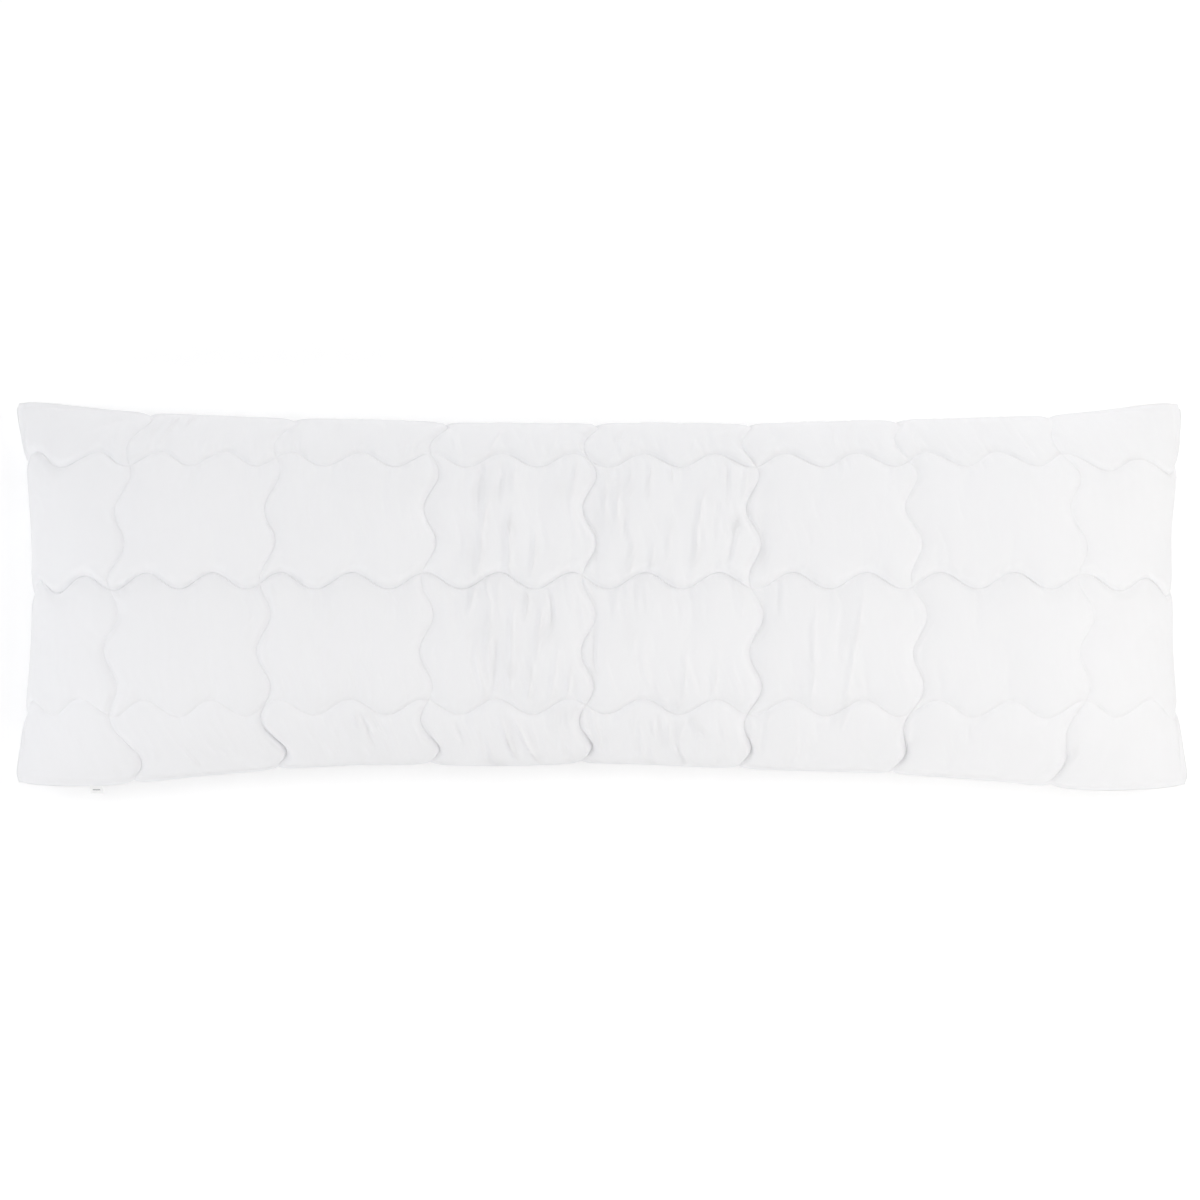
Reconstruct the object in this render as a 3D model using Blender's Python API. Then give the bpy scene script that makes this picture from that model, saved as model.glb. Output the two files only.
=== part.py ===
"""A quilted body pillow, lying on its back, with a small blank label in its near side seam.

Metres, +Z up. The origin is on the floor under the middle of the pillow: +X runs along it and +Y
across it, towards the far side seam. The pillow is one filled solid. Its front and back are the same
quilted panel, cut flat and sewn together on all four sides, so each point of the surface is worked
out from its place on the flat panel.
"""

import math

import bmesh
import bpy
import mathutils
import numpy as np

# The panel as it is cut, flat. Its long seams are gathered a little as they are filled.
PANEL_LENGTH = 1.560
PANEL_WIDTH = 0.500
HALF_LENGTH = PANEL_LENGTH / 2
HALF_WIDTH = PANEL_WIDTH / 2

# The filled pillow. The outline pulls in between the corners: each row is a place along a seam.
LOFT = 0.170
SIDE_SEAM_HEIGHT = 0.072
END_SEAM_HEIGHT = 0.056
CORNER_HEIGHT = 0.048
SIDE_REACH = (  # station along the panel, far seam, near seam
    (-0.780, 0.2500, 0.2410),
    (-0.660, 0.2350, 0.2425),
    (-0.508, 0.2245, 0.2275),
    (-0.320, 0.2200, 0.2155),
    (-0.114, 0.2150, 0.2165),
    (0.000, 0.2155, 0.2137),
    (0.197, 0.2150, 0.2205),
    (0.404, 0.2200, 0.2275),
    (0.518, 0.2225, 0.2350),
    (0.642, 0.2290, 0.2460),
    (0.780, 0.2480, 0.2430),
)
END_REACH = (  # station across the panel, left seam, right seam
    (-0.250, 0.7320, 0.7370),
    (-0.161, 0.7205, 0.7245),
    (-0.080, 0.7130, 0.7175),
    (0.000, 0.7115, 0.7170),
    (0.080, 0.7125, 0.7160),
    (0.161, 0.7195, 0.7240),
    (0.250, 0.7340, 0.7300),
)
WAIST_REACH = 0.214
STRIP = (0.55, 1.00)
CORNER_ROUNDING = 0.006
CORNER_SHARPNESS = 30

# How the filling bends each face, from its middle out to the seam: a level stretch, then a quarter
# of an ellipse of this run and rise.
FRONT_ACROSS = {"level": 0.000, "run": 0.214, "rise": LOFT - SIDE_SEAM_HEIGHT}
FRONT_ALONG = {"level": 0.516, "run": 0.200, "rise": LOFT - END_SEAM_HEIGHT}
BACK_ACROSS = {"level": 0.146, "run": 0.068, "rise": SIDE_SEAM_HEIGHT}
BACK_ALONG = {"level": 0.572, "run": 0.140, "rise": END_SEAM_HEIGHT}

# The quilting: seven lines across and three along, each a wave. The waves of the long lines come
# closer together towards the left end, and the whole front is turned a little over the seams.
CROSS_LINES = (-0.622, -0.4254, -0.2193, -0.0142, 0.197, 0.402, 0.614)
LONG_LINES = (-0.1515, 0.0065, 0.1660)
CROSS_WAVE = {"height": 0.0088, "length": 0.0905, "start": 0.0316}
LONG_WAVE = {"height": 0.0103, "length": 0.0932, "start": 0.0338}
CLOSER_WAVES = {"from": -0.380, "share": 0.08}
WAVE_FADE = {"along": (0.640, 0.775), "across": (0.185, 0.246)}
LEAN = 0.017
CHANNEL_DEPTH = 0.0065
CHANNEL_REACH = {"front": 0.0085, "back": 0.0150}
CELL_CROWN = 0.0025
SEAM_NOTCH = 0.0045
SEAM_CREASE = 0.0030
SEAM_REACH = 0.0060
PRESSED_LEVEL = 0.0008

# Facets of one panel: columns between the ends and the cross lines, rows between the sides and the
# long lines, drawn closer together beside each line. The back has a full ring of them next to the
# seam and half as many each way inside it, so each count beside a seam is odd and each other is even.
END_COLUMNS = 9
CELL_COLUMNS = 18
SIDE_ROWS = 5
CELL_ROWS = 12
LINE_DRAW = 0.045

# The label: a short folded ribbon in the near seam.
LABEL_STATION = -0.6290
LABEL_WIDTH = 0.016
LABEL_THICKNESS = 0.0012
LABEL_DROP = 0.0240
LABEL_BEND = 0.0065
LABEL_ROOT = (-0.2354, 0.0548)
LABEL_LEAN = math.radians(80)

WHITE_CLOTH = (0.90, 0.90, 0.91, 1.0)
WHITE_RIBBON = (0.88, 0.88, 0.87, 1.0)


def clear_scene():
    for old in list(bpy.data.objects):
        bpy.data.objects.remove(old)


def cloth_material(name, colour, roughness):
    material = bpy.data.materials.new(name)
    material.use_nodes = True
    shader = material.node_tree.nodes["Principled BSDF"]
    shader.inputs["Base Color"].default_value = colour
    shader.inputs["Roughness"].default_value = roughness
    shader.inputs["Metallic"].default_value = 0.0
    return material


def smooth_step(value, low, high):
    """0 below low, 1 above high, and an even S between them."""
    share = np.clip((value - low) / (high - low), 0.0, 1.0)
    return share * share * (3.0 - 2.0 * share)


def smooth_table(rows, column, at):
    """One column of a table, read at any station along a curve through its rows (Catmull-Rom)."""
    station = np.array([row[0] for row in rows])
    value = np.array([row[column] for row in rows])
    slope = np.gradient(value, station)
    i = np.clip(np.searchsorted(station, at) - 1, 0, len(station) - 2)
    gap = station[i + 1] - station[i]
    share = np.clip((at - station[i]) / gap, 0.0, 1.0)
    rest = 1.0 - share
    return (
        value[i] * (1 + 2 * share) * rest**2
        + slope[i] * gap * share * rest**2
        + value[i + 1] * (3 - 2 * share) * share**2
        - slope[i + 1] * gap * rest * share**2
    )


def bend(share, level, run, rise):
    """Where cloth at this share of the way from the middle to the seam comes to lie: the share of the
    reach that it gets to, and its height, 1 in the middle and 0 at the seam. Equal lengths of cloth
    stay equal along the curve."""
    angle = np.linspace(0.0, math.pi / 2, 90)
    out = np.append(0.0, level + run * np.sin(angle))
    up = np.append(1.0, np.cos(angle))
    length = np.append(0.0, np.cumsum(np.hypot(np.diff(out), rise * np.diff(up))))
    along = length / length[-1]
    return np.interp(share, along, out / out[-1]), np.interp(share, along, up)


def drawn_stations(edges, counts):
    """Stations from edge to edge, closer together beside each edge."""
    stations = [edges[0]]
    for start, end, count in zip(edges[:-1], edges[1:], counts):
        share = np.arange(1, count + 1) / count
        share = share - LINE_DRAW * np.sin(2 * math.pi * share)
        stations.extend(start + (end - start) * share)
    return np.array(stations)


def wave(place, height, length, start):
    return height * np.sin(2 * math.pi * (place - start) / length)


def waved(column, row):
    """The place on the flat panel of a grid whose lines follow both waves, so that every quilting
    line is a line of the grid. Each wave moves the other, so the two are settled in turn."""
    keep_along = 1.0 - smooth_step(np.abs(column), *WAVE_FADE["along"])
    keep_across = 1.0 - smooth_step(np.abs(row), *WAVE_FADE["across"])
    s, t = column, row
    for _ in range(24):
        s = column + keep_along * wave(t, **CROSS_WAVE)
        closer = CLOSER_WAVES["share"] * np.maximum(0.0, CLOSER_WAVES["from"] - s)
        t = row + keep_across * wave(s - closer, **LONG_WAVE)
    return s, t


def near_line(place, lines, reach):
    """1 on a quilting line, falling away evenly to either side."""
    distance = np.min([np.abs(place - line) for line in lines], axis=0)
    return np.exp(-distance / reach)


def quilting(column, row, reach):
    """Height of the quilted cloth over the filling: down in the channels, a little up in each cell."""
    cross, long = near_line(column, CROSS_LINES, reach), near_line(row, LONG_LINES, reach)
    channel = 1.0 - (1.0 - cross) * (1.0 - long)
    return CELL_CROWN - (CELL_CROWN + CHANNEL_DEPTH) * channel


def settle(column, row, front):
    """Points of one filled face, from their places on the grid of the panel."""
    s, t = waved(column, row)
    u, v = np.abs(s) / HALF_LENGTH, np.abs(t) / HALF_WIDTH
    across, along = (FRONT_ACROSS, FRONT_ALONG) if front else (BACK_ACROSS, BACK_ALONG)
    out_y, up_y = bend(v, **across)
    out_x, up_x = bend(u, **along)
    side = np.where(t > 0, smooth_table(SIDE_REACH, 1, s), smooth_table(SIDE_REACH, 2, s))
    end = np.where(s < 0, smooth_table(END_REACH, 1, t), smooth_table(END_REACH, 2, t))

    # The seams are drawn in where a quilting line meets them, along their crease and at the corners.
    to_side, to_end = (1.0 - v) * HALF_WIDTH, (1.0 - u) * HALF_LENGTH
    at_side, at_end = np.exp(-to_side / SEAM_REACH), np.exp(-to_end / SEAM_REACH)
    corner = CORNER_ROUNDING * (u * v) ** CORNER_SHARPNESS
    side_notch = SEAM_NOTCH * near_line(column, CROSS_LINES, CHANNEL_REACH["front"])
    end_notch = SEAM_NOTCH * near_line(row, LONG_LINES, CHANNEL_REACH["front"])
    side = side - at_side * (SEAM_CREASE + side_notch) - corner
    end = end - at_end * (SEAM_CREASE + end_notch) - corner

    # The fuller a face is, the more its cloth bends. The long seams are gathered, which only the strips
    # beside them take up, as they do the spread of the outline towards each corner.
    loose = smooth_step(v, *STRIP)
    x = np.sign(s) * end * (out_x + loose * (u - out_x)) + LEAN * t * (1.0 - u**2)
    y = np.sign(t) * (WAIST_REACH * (v + up_x**2 * (out_y - v)) + (side - WAIST_REACH) * v ** (1 + 3 * up_x**2))
    top_x = bend(u, **FRONT_ALONG)[1]
    top_y = bend(v, **FRONT_ACROSS)[1]
    seam = (
        CORNER_HEIGHT
        + (SIDE_SEAM_HEIGHT - CORNER_HEIGHT) * top_x
        + (END_SEAM_HEIGHT - CORNER_HEIGHT) * top_y * (1.0 - top_x)
    )
    if front:
        z = seam + (LOFT - SIDE_SEAM_HEIGHT) * up_x * up_y
    else:
        z = seam * (1.0 - up_x * up_y)
    points = np.stack([x, y, z], axis=-1)

    # The quilting stands on that face along its normal, and dies away into the seam.
    normal = np.cross(np.gradient(points, axis=0), np.gradient(points, axis=1))
    normal /= np.linalg.norm(normal, axis=-1, keepdims=True)
    free = (1.0 - at_side) * (1.0 - at_end)
    lift = quilting(column, row, CHANNEL_REACH["front" if front else "back"]) * free
    if front:
        return points + normal * lift[..., None]
    # Under the pillow each cell is pressed level with the floor, and only the channels stand clear.
    points = points - normal * np.minimum(lift, 0.0)[..., None]
    points[..., 2] = np.where(points[..., 2] < PRESSED_LEVEL, 0.0, points[..., 2])
    return points


def panel_faces(across, along, coarse):
    """Corners of each facet of a panel, as (i, j) places on its grid."""
    if not coarse:
        steps = [(i, j, 1) for i in range(across) for j in range(along)]
    else:
        ring = [
            (i, j, 1)
            for i in range(across)
            for j in range(along)
            if i in (0, across - 1) or j in (0, along - 1)
        ]
        steps = ring + [(i, j, 2) for i in range(1, across - 1, 2) for j in range(1, along - 1, 2)]
    for i, j, step in steps:
        corners = [(i, j), (i + step, j), (i + step, j + step), (i, j + step)]
        if step == 2:  # a facet beside the ring also takes the ring's own middle point
            middles = [(i + 1, j), (i + 2, j + 1), (i + 1, j + 2), (i, j + 1)]
            shared = [j == 1, i == across - 3, j == along - 3, i == 1]
            corners = [
                place
                for corner, middle, keep in zip(corners, middles, shared)
                for place in ((corner, middle) if keep else (corner,))
            ]
        yield corners


def pillow():
    """Both faces as one closed skin: two grids of the panel that share their points round the seam."""
    columns = drawn_stations(
        (-HALF_LENGTH, *CROSS_LINES, HALF_LENGTH),
        (END_COLUMNS, *[CELL_COLUMNS] * (len(CROSS_LINES) - 1), END_COLUMNS),
    )
    rows = drawn_stations(
        (-HALF_WIDTH, *LONG_LINES, HALF_WIDTH),
        (SIDE_ROWS, *[CELL_ROWS] * (len(LONG_LINES) - 1), SIDE_ROWS),
    )
    column, row = np.meshgrid(columns, rows, indexing="ij")
    across, along = len(columns) - 1, len(rows) - 1
    skin = bmesh.new()
    seam = {}
    for front in (True, False):
        points = settle(column, row, front)
        used = {}
        for corners in panel_faces(across, along, coarse=not front):
            for i, j in corners:
                on_seam = i in (0, across) or j in (0, along)
                kept = seam if on_seam else used
                if (i, j) not in kept:
                    kept[i, j] = skin.verts.new(points[i, j])
            facet = [seam.get(place) or used[place] for place in corners]
            skin.faces.new(facet if front else facet[::-1])
    return finished("pillow", skin, cloth_material("white_quilted_cloth", WHITE_CLOTH, 0.8))


def label():
    """A ribbon folded double and sewn into the near seam. It leaves the seam, bends over and hangs."""
    turn = np.linspace(0.0, LABEL_LEAN, 7)
    root_y, root_z = LABEL_ROOT
    middle = [(root_y - LABEL_BEND * math.sin(a), root_z - LABEL_BEND * (1 - math.cos(a))) for a in turn]
    last_y, last_z = middle[-1]
    hang = LABEL_DROP - LABEL_BEND * LABEL_LEAN
    middle.append((last_y - hang * math.cos(LABEL_LEAN), last_z - hang * math.sin(LABEL_LEAN)))
    middle = np.array(middle)
    run = np.gradient(middle, axis=0)
    aside = np.stack([run[:, 1], -run[:, 0]], axis=1)
    aside *= LABEL_THICKNESS / 2 / np.linalg.norm(aside, axis=1, keepdims=True)
    outline = np.concatenate([middle + aside, (middle - aside)[::-1]])

    ribbon = bmesh.new()
    left, right = LABEL_STATION - LABEL_WIDTH / 2, LABEL_STATION + LABEL_WIDTH / 2
    edge = [ribbon.verts.new((left, y, z)) for y, z in outline]
    side = ribbon.faces.new(edge)
    swept = bmesh.ops.extrude_face_region(ribbon, geom=[side])
    moved = [part for part in swept["geom"] if isinstance(part, bmesh.types.BMVert)]
    bmesh.ops.translate(ribbon, verts=moved, vec=(right - left, 0.0, 0.0))
    bmesh.ops.recalc_face_normals(ribbon, faces=ribbon.faces)
    return finished("label", ribbon, cloth_material("white_ribbon", WHITE_RIBBON, 0.6))


def finished(name, shape, material):
    mesh = bpy.data.meshes.new(name)
    shape.to_mesh(mesh)
    shape.free()
    mesh.materials.append(material)
    mesh.shade_smooth()
    mesh.set_sharp_from_angle(angle=math.radians(50))
    made = bpy.data.objects.new(name, mesh)
    bpy.context.scene.collection.objects.link(made)
    return made


def centre_on_origin(pieces):
    """Moves the pieces together, so that the origin is under the middle of their box."""
    corners = np.array([point.co[:2] for piece in pieces for point in piece.data.vertices])
    middle = (corners.min(axis=0) + corners.max(axis=0)) / 2
    for piece in pieces:
        piece.data.transform(mathutils.Matrix.Translation((-middle[0], -middle[1], 0.0)))


clear_scene()
centre_on_origin([pillow(), label()])
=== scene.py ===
import math

import bpy
import numpy as np
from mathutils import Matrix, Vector


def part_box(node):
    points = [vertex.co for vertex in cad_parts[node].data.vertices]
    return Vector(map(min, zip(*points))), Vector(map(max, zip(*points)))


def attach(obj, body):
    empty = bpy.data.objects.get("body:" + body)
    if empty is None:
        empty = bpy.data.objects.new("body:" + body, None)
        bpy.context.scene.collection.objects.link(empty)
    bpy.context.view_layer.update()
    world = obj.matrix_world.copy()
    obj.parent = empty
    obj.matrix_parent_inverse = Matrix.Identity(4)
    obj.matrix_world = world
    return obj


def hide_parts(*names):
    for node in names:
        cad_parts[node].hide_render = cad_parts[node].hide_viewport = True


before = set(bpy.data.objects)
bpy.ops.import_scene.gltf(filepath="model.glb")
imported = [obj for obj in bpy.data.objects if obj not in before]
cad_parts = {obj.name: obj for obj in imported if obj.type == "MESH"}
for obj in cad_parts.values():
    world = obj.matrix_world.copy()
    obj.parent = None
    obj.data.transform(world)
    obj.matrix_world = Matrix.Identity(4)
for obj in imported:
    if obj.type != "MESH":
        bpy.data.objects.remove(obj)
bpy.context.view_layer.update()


# The pillow's cloth: two like panels of white cotton, each quilted in seven waved lines across and three
# along, sewn together on all four sides and turned. A panel is worked out from its flat cut, so both the
# quilting and the folds are given as places on the flat cloth, in metres from its middle.
HALF_LENGTH = 0.780
HALF_WIDTH = 0.250
CROSS_LINES = (-0.622, -0.4254, -0.2193, -0.0142, 0.197, 0.402, 0.614)
LONG_LINES = (-0.1515, 0.0065, 0.1660)
CROSS_WAVE = {"height": 0.0088, "length": 0.0905, "start": 0.0316}
LONG_WAVE = {"height": 0.0103, "length": 0.0932, "start": 0.0338}
CLOSER_WAVES = {"from": -0.380, "share": 0.08}
GATHERED_ROWS = (-0.200, -0.150, -0.060, 0.000, 0.090, 0.150)
GATHERED_SHARES = (0.014, 0.006, -0.010, -0.004, 0.012, 0.028)
GATHERED_TO = -0.070
RAISED_LEFT = {"height": 0.009, "along": (0.56, 0.72), "across": (0.05, 0.16)}
WAVE_FADE = {"along": (0.640, 0.775), "across": (0.185, 0.246)}
SETTLING_ROUNDS = 24
CELL_SIDES = (-HALF_LENGTH, *CROSS_LINES, HALF_LENGTH)
CELL_ENDS = (HALF_WIDTH, *LONG_LINES[::-1], -HALF_WIDTH)


def smooth_step(value, low, high):
    """0 below low, 1 above high, and share squared times (3 less twice the share) between them."""
    share = np.clip((value - low) / (high - low), 0.0, 1.0)
    return share * share * (3.0 - 2.0 * share)


def wave(place, height, length, start):
    """Height times the sine of the turns from start."""
    return height * np.sin(2 * math.pi * (place - start) / length)


def waved(column, row):
    """The place on the flat cloth of a grid whose lines follow both waves: each place is moved by the
    wave of the other direction, in turn until both are settled. Every quilting line is then a line of the
    grid. The sewing has gathered each row of cloth towards one station, by a small share of its distance
    from it, and at the left end the far line is sewn a little higher."""
    keep_along = 1.0 - smooth_step(np.abs(column), *WAVE_FADE["along"])
    keep_across = 1.0 - smooth_step(np.abs(row), *WAVE_FADE["across"])
    gathered = np.interp(row, GATHERED_ROWS, GATHERED_SHARES) * (GATHERED_TO - column) * keep_along
    raised = RAISED_LEFT["height"] * smooth_step(-column, *RAISED_LEFT["along"])
    raised = raised * smooth_step(row, *RAISED_LEFT["across"]) * keep_across
    s, t = column, row
    for _ in range(SETTLING_ROUNDS):
        s = column + gathered + keep_along * wave(t, **CROSS_WAVE)
        closer = CLOSER_WAVES["share"] * np.maximum(0.0, CLOSER_WAVES["from"] - s)
        t = row + raised + keep_across * wave(s - gathered - closer, **LONG_WAVE)
    return s, t


BESIDE_LINE = (0.0007, 0.0016, 0.0028, 0.0044)


def stations(edges, counts, beside=BESIDE_LINE):
    """Stations from edge to edge: a few close ones beside each edge, and even ones between those."""
    close = np.array((0.0, *beside))
    places = [edges[:1]]
    for start, end, count in zip(edges[:-1], edges[1:], counts):
        between = np.linspace(start + close[-1], end - close[-1], count + 1)[1:]
        places.append(np.concatenate([start + close[1:], between, end - close[-2::-1]]))
    return np.concatenate(places)


def panel_grid(end_columns, cell_columns, side_rows, cell_rows, beside=BESIDE_LINE):
    """The columns and rows of a grid over a whole panel, as two arrays."""
    cells, strips = len(CROSS_LINES) - 1, len(LONG_LINES) - 1
    columns = stations(CELL_SIDES, (end_columns, *[cell_columns] * cells, end_columns), beside)
    rows = stations(CELL_ENDS[::-1], (side_rows, *[cell_rows] * strips, side_rows), beside)
    return columns, rows


# The filling: it rounds each face from a level middle down to the seam, and draws the outline in between
# the corners. The places of the seams are the maker's table of stations, as on the solid.
LOFT = 0.170
SIDE_SEAM_HEIGHT = 0.072
END_SEAM_HEIGHT = 0.056
CORNER_HEIGHT = 0.048
SIDE_REACH = (  # station along the panel, far seam, near seam
    (-0.780, 0.2490, 0.2400),
    (-0.660, 0.2335, 0.2405),
    (-0.508, 0.2245, 0.2275),
    (-0.320, 0.2200, 0.2155),
    (-0.114, 0.2150, 0.2165),
    (0.000, 0.2155, 0.2137),
    (0.197, 0.2150, 0.2205),
    (0.404, 0.2200, 0.2275),
    (0.518, 0.2225, 0.2350),
    (0.642, 0.2290, 0.2460),
    (0.780, 0.2480, 0.2430),
)
END_REACH = (  # station across the panel, left seam, right seam
    (-0.250, 0.7320, 0.7370),
    (-0.161, 0.7205, 0.7245),
    (-0.080, 0.7130, 0.7175),
    (0.000, 0.7115, 0.7170),
    (0.080, 0.7125, 0.7160),
    (0.161, 0.7195, 0.7240),
    (0.250, 0.7340, 0.7300),
)
WAIST_REACH = 0.214
STRIP = (0.55, 1.00)
CORNER_ROUNDING = 0.006
CORNER_SHARPNESS = 30
FRONT_ACROSS = {"level": 0.000, "run": 0.214, "rise": LOFT - SIDE_SEAM_HEIGHT}
FRONT_ALONG = {"level": 0.516, "run": 0.200, "rise": LOFT - END_SEAM_HEIGHT}
BACK_ACROSS = {"level": 0.146, "run": 0.068, "rise": SIDE_SEAM_HEIGHT}
BACK_ALONG = {"level": 0.572, "run": 0.140, "rise": END_SEAM_HEIGHT}
LEAN = 0.017
SEAM_NOTCH = 0.0045
SEAM_REACH = 0.0060
NOTCH_REACH = 0.0085
RIM_HEIGHT = 0.0024
RIM_REACH = 0.0016
SEAM_CREASE = {"depth": 0.0016, "from seam": 0.0040, "reach": 0.0024}
BEND_SAMPLES = 90


def smooth_table(rows, column, at):
    """One column of a table at any station, along a curve through its rows: the four Hermite terms, with
    the slope at each row taken from its neighbours."""
    station = np.array([row[0] for row in rows])
    value = np.array([row[column] for row in rows])
    slope = np.gradient(value, station)
    i = np.clip(np.searchsorted(station, at) - 1, 0, len(station) - 2)
    gap = station[i + 1] - station[i]
    share = np.clip((at - station[i]) / gap, 0.0, 1.0)
    rest = 1.0 - share
    return (
        value[i] * (1 + 2 * share) * rest**2
        + slope[i] * gap * share * rest**2
        + value[i + 1] * (3 - 2 * share) * share**2
        - slope[i + 1] * gap * rest * share**2
    )


def bend(share, level, run, rise):
    """A level stretch, then a quarter of an ellipse of this run and rise, read by its length: the share
    of the reach that the cloth gets to, and its height, 1 in the middle and 0 at the seam."""
    angle = np.linspace(0.0, math.pi / 2, BEND_SAMPLES)
    out = np.append(0.0, level + run * np.sin(angle))
    up = np.append(1.0, np.cos(angle))
    length = np.append(0.0, np.cumsum(np.hypot(np.diff(out), rise * np.diff(up))))
    along = length / length[-1]
    return np.interp(share, along, out / out[-1]), np.interp(share, along, up)


def near_line(place, lines, reach):
    """1 on a line, and e to the power of less the distance over reach beside it."""
    distance = np.min([np.abs(place - line) for line in lines], axis=0)
    return np.exp(-distance / reach)


def from_seams(s, t):
    """1 on the long seams and 1 on the end seams, falling away over the seam's reach."""
    to_side, to_end = HALF_WIDTH - np.abs(t), HALF_LENGTH - np.abs(s)
    return np.exp(-to_side / SEAM_REACH), np.exp(-to_end / SEAM_REACH)


def seam_draw(to_seam):
    """How far a face is drawn in beside its seam: by the rim's height beyond the rim, and a little more
    in the crease next to it. Both are bell curves of the distance to the seam."""
    rim = np.exp(-((to_seam / RIM_REACH) ** 2))
    crease = np.exp(-(((to_seam - SEAM_CREASE["from seam"]) / SEAM_CREASE["reach"]) ** 2))
    return RIM_HEIGHT * (1.0 - rim) + SEAM_CREASE["depth"] * crease


def filled(column, row, front):
    """Points of one filled face before its quilting, and their normals. Each place on the flat cloth
    keeps its share of the bent length along and across, and the table of seams stretches the face to its
    outline."""
    s, t = waved(column, row)
    u, v = np.abs(s) / HALF_LENGTH, np.abs(t) / HALF_WIDTH
    across, along = (FRONT_ACROSS, FRONT_ALONG) if front else (BACK_ACROSS, BACK_ALONG)
    out_y, up_y = bend(v, **across)
    out_x, up_x = bend(u, **along)
    at_side, at_end = from_seams(s, t)
    corner = CORNER_ROUNDING * (u * v) ** CORNER_SHARPNESS
    side_notch = SEAM_NOTCH * near_line(column, CROSS_LINES, NOTCH_REACH)
    end_notch = SEAM_NOTCH * near_line(row, LONG_LINES, NOTCH_REACH)
    side = np.where(t > 0, smooth_table(SIDE_REACH, 1, s), smooth_table(SIDE_REACH, 2, s))
    end = np.where(s < 0, smooth_table(END_REACH, 1, t), smooth_table(END_REACH, 2, t))
    side = side - seam_draw(HALF_WIDTH - np.abs(t)) - at_side * side_notch - corner
    end = end - seam_draw(HALF_LENGTH - np.abs(s)) - at_end * end_notch - corner
    loose = smooth_step(v, *STRIP)
    x = np.sign(s) * end * (out_x + loose * (u - out_x)) + LEAN * t * (1.0 - u**2)
    rounded = up_x**2
    waist = WAIST_REACH * (v + rounded * (out_y - v))
    y = np.sign(t) * (waist + (side - WAIST_REACH) * v ** (1 + 3 * rounded))
    top_x, top_y = bend(u, **FRONT_ALONG)[1], bend(v, **FRONT_ACROSS)[1]
    seam = CORNER_HEIGHT + (SIDE_SEAM_HEIGHT - CORNER_HEIGHT) * top_x
    seam = seam + (END_SEAM_HEIGHT - CORNER_HEIGHT) * top_y * (1.0 - top_x)
    if front:
        z = seam + (LOFT - SIDE_SEAM_HEIGHT) * up_x * up_y
    else:
        z = seam * (1.0 - up_x * up_y)
    points = np.stack([x, y, z], axis=-1)
    normal = np.cross(np.gradient(points, axis=0), np.gradient(points, axis=1))
    normal /= np.linalg.norm(normal, axis=-1, keepdims=True)
    return points, normal


# The quilting: the stitching holds the cloth down in a channel, some stretches of a line more firmly than
# others, and deepest where the cross lines run out over the near side. The cloth rolls over a line more
# sharply from one side than from the other, and draws into small puckers on both.
CROWN = {"front": (0.0022, 0.022), "back": (0.0025, 0.015)}
CHANNEL_DEPTH = 0.0052
SHARP_REACH = 0.0048
SLOW_SLOPES = ((0.4, 0.0040), (0.6, 0.0220))
LIP = {"long": 0.0030, "cross": 0.0008, "crest": 0.0050, "fall": 0.0240}
CREASE_DEPTH = 0.0015
CREASE_REACH = 0.0011
LONG_STRETCHES = (  # a row for each line from the near one, with a pair for each cell from the left:
    # how firmly it is held, and how much more sharply the far side rolls than the near one
    ((0.3, 0.0), (0.3, 0.0), (0.4, 0.0), (0.7, 0.0), (0.7, 0.0), (0.5, 0.0), (0.35, 0.0), (0.2, 0.0)),
    ((1.0, 1.0), (1.0, 1.0), (1.0, 1.0), (1.0, 1.0), (1.0, 1.0), (0.8, 1.0), (0.7, 1.0), (0.6, 0.7)),
    ((0.7, 0.6), (0.5, 0.5), (0.6, 0.5), (0.7, 0.7), (0.8, 0.8), (0.7, 0.7), (0.5, 0.6), (0.4, 0.6)),
)
CROSS_STRETCHES = (  # a row for each line from the left, with a pair for each cell from the near side:
    # how firmly it is held, and how much more sharply the left side rolls than the right one
    ((0.5, 0.0), (0.5, 0.2), (0.5, 0.4), (0.3, 0.0)),
    ((1.0, -0.5), (0.5, 0.0), (0.6, 0.2), (0.3, 0.0)),
    ((0.8, 0.4), (0.5, 0.5), (0.8, 0.6), (0.9, 1.0)),
    ((1.0, 0.8), (0.9, 1.0), (1.1, 1.0), (0.9, 1.0)),
    ((1.0, 1.0), (1.0, 0.8), (1.2, 1.0), (0.5, 0.6)),
    ((1.0, 1.0), (0.3, 0.3), (0.6, 0.7), (0.5, 0.6)),
    ((0.6, 0.6), (0.25, 0.0), (0.3, 0.0), (0.3, 0.0)),
)
BACK_CHANNEL = (0.0065, 0.0150)
NEAR_ENDS = (  # a row for each cross line from the left: starts at, full from, depth mm, reach mm
    (-0.195, -0.222, 2.0, 3.0),
    (-0.165, -0.200, 4.5, 3.5),
    (-0.180, -0.205, 3.8, 3.0),
    (-0.175, -0.205, 4.5, 3.0),
    (-0.175, -0.205, 4.2, 3.0),
    (-0.180, -0.210, 4.0, 3.0),
    (-0.190, -0.215, 3.2, 3.0),
)
PUCKER_PITCH = 0.0115
PUCKER_HEIGHT = 0.00075
PUCKER_REACH = 0.0095
PUCKER_SLANT = {"cross": 0.3, "long": 0.2}
PUCKER_SEEDS = {"cross": 20, "long": 40, "strength": 60}
PUCKER_STRENGTH_PITCH = 0.21
STITCHED_REACH = 0.0020


def uneven(place, pitch, seed):
    """An even sum of five sines of about this pitch, each with its own length and start, from -1 to 1."""
    draw = np.random.default_rng(seed)
    total = 0.0
    for _ in range(5):
        length = pitch * draw.uniform(0.65, 1.9)
        total = total + np.sin(2 * math.pi * (place / length + draw.uniform(0.0, 1.0)))
    return total / 5 * 1.6


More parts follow.
